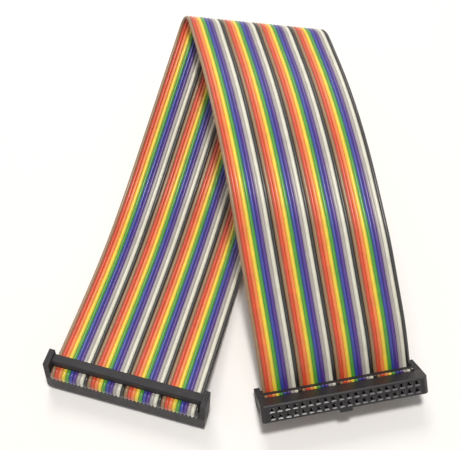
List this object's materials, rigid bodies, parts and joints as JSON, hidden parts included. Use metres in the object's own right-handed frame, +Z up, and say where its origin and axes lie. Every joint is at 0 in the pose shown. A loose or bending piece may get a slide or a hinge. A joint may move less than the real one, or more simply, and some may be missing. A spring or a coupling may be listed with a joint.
{
  "type": "ribbon cable",
  "caption": "Rainbow ribbon cable looped over itself, with a black two-row socket pressed on at each end.",
  "frame": {"origin": "on the table, at the middle of the near key's lower edge, on which the near socket leans back 10 degrees", "axes": "+X along the near socket, toward the ribbon's black edge; +Y the way the ribbon leaves that socket, seen from above; +Z up"},
  "size_m": [0.1236, 0.1507, 0.0438],
  "materials": {
    "insulation_brown": "glossy PVC",
    "insulation_red": "glossy PVC",
    "insulation_orange": "glossy PVC",
    "insulation_yellow": "glossy PVC",
    "insulation_green": "glossy PVC",
    "insulation_blue": "glossy PVC",
    "insulation_violet": "glossy PVC",
    "insulation_grey": "glossy PVC",
    "insulation_white": "glossy PVC",
    "insulation_black": "glossy PVC",
    "socket_plastic": "semi-matte moulded",
    "contact_metal": "plated"
  },
  "bodies": {
    "root": {"wire_01_brown": "insulation_brown", "wire_02_red": "insulation_red", "wire_03_orange": "insulation_orange", "wire_04_yellow": "insulation_yellow", "wire_05_green": "insulation_green", "wire_06_blue": "insulation_blue", "wire_07_violet": "insulation_violet", "wire_08_grey": "insulation_grey", "wire_09_white": "insulation_white", "wire_10_black": "insulation_black", "wire_11_brown": "insulation_brown", "wire_12_red": "insulation_red", "wire_13_orange": "insulation_orange", "wire_14_yellow": "insulation_yellow", "wire_15_green": "insulation_green", "wire_16_blue": "insulation_blue", "wire_17_violet": "insulation_violet", "wire_18_grey": "insulation_grey", "wire_19_white": "insulation_white", "wire_20_black": "insulation_black", "wire_21_brown": "insulation_brown", "wire_22_red": "insulation_red", "wire_23_orange": "insulation_orange", "wire_24_yellow": "insulation_yellow", "wire_25_green": "insulation_green", "wire_26_blue": "insulation_blue", "wire_27_violet": "insulation_violet", "wire_28_grey": "insulation_grey", "wire_29_white": "insulation_white", "wire_30_black": "insulation_black", "wire_31_brown": "insulation_brown", "wire_32_red": "insulation_red", "wire_33_orange": "insulation_orange", "wire_34_yellow": "insulation_yellow", "wire_35_green": "insulation_green", "wire_36_blue": "insulation_blue", "wire_37_violet": "insulation_violet", "wire_38_grey": "insulation_grey", "wire_39_white": "insulation_white", "wire_40_black": "insulation_black", "near_housing": "socket_plastic", "near_contacts": "contact_metal", "near_cover": "socket_plastic", "near_strain_relief": "socket_plastic", "far_housing": "socket_plastic", "far_contacts": "contact_metal", "far_cover": "socket_plastic", "far_strain_relief": "socket_plastic"}
  },
  "joints": []
}
